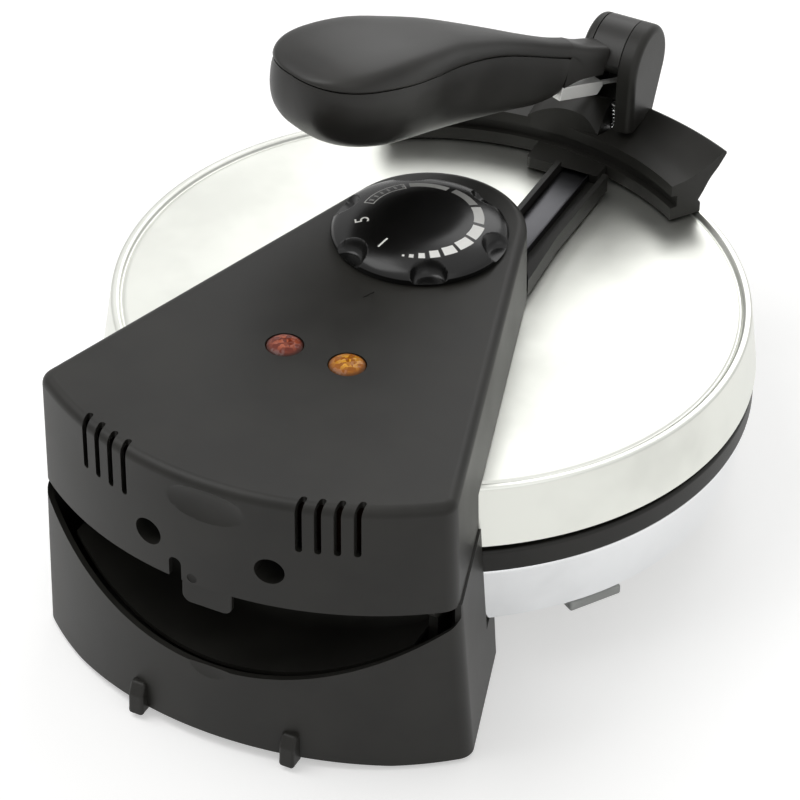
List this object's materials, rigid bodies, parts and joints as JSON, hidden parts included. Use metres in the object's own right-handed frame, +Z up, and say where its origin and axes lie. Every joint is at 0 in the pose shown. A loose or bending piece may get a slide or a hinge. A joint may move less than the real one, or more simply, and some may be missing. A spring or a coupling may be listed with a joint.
{
  "type": "electric roti maker",
  "caption": "Countertop flatbread press: round steel body with a hinged heated lid, rear wedge housing with knob and lamps, and a pivoting press handle.",
  "frame": {"origin": "centre of the footprint's box, on the table", "axes": "+Z up, +Y towards the rear housing and hinge, press handle's pivot at the front on -Y"},
  "size_m": [0.292, 0.376, 0.2258],
  "materials": {
    "black_plastic": "fine matte moulding texture",
    "knob_plastic": "glossy with printed white scale",
    "polished_steel": "polished pressed steel",
    "plain_steel": "plain zinc-plated steel",
    "cast_aluminium": "cast and non-stick coated",
    "element_sheath": "heat-darkened steel sheath",
    "rubber": "matte",
    "grey_rubber": "matte grey",
    "red_lens": "translucent red",
    "amber_lens": "translucent amber",
    "lamp_body": "plain",
    "switch_body": "plain"
  },
  "bodies": {
    "base": {"base_ring": "black_plastic", "base_skirt": "polished_steel", "bottom_pan": "plain_steel", "deck_screw_left": "plain_steel", "deck_screw_right": "plain_steel", "front_leg_left": "black_plastic", "front_leg_right": "black_plastic", "front_pad_left": "rubber", "front_pad_right": "rubber", "hinge_pin_left": "plain_steel", "hinge_pin_right": "plain_steel", "inner_shield": "black_plastic", "lower_cooking_plate": "cast_aluminium", "lower_heating_element": "element_sheath", "lower_reflector": "plain_steel", "rear_base_housing": "black_plastic", "rear_pad_left": "rubber", "rear_pad_right": "rubber", "side_bumper_left": "grey_rubber", "side_bumper_right": "grey_rubber"},
    "lid": {"lid_cover": "polished_steel", "lid_liner": "black_plastic", "upper_cooking_plate": "cast_aluminium", "upper_heating_element": "element_sheath", "upper_reflector": "plain_steel", "upper_housing": "black_plastic", "housing_cover": "plain_steel", "housing_screw_left": "plain_steel", "housing_screw_right": "plain_steel", "thermostat": "switch_body", "lamp_lens_power": "red_lens", "lamp_lens_ready": "amber_lens", "lamp_body_power": "lamp_body", "lamp_body_ready": "lamp_body", "spine_channel": "black_plastic", "pressure_strap": "polished_steel", "front_bracket": "black_plastic", "pivot_yoke": "black_plastic", "pivot_pin": "plain_steel", "release_spring": "plain_steel", "release_plunger": "plain_steel"},
    "handle": {"handle_hub": "black_plastic", "handle_top_shell": "black_plastic", "handle_lower_shell": "black_plastic", "lever_plate": "polished_steel", "lever_rod": "plain_steel"},
    "knob": {"control_knob": "knob_plastic", "knob_shaft": "plain_steel"}
  },
  "joints": [
    {"name": "lid_hinge", "type": "hinge", "parent": "base", "child": "lid", "pos_m": [0, 0.14845, 0.087], "axis": [-1, 0, 0], "range_deg": [0, 88]},
    {"name": "handle_pivot", "type": "hinge", "parent": "lid", "child": "handle", "pos_m": [-0.0235, -0.16855, 0.153], "axis": [1, 0, 0], "range_deg": [0, 150]},
    {"name": "knob_turn", "type": "hinge", "parent": "lid", "child": "knob", "pos_m": [0, -0.00905, 0.143], "axis": [0, 0, 1], "range_deg": [0, 300]}
  ]
}
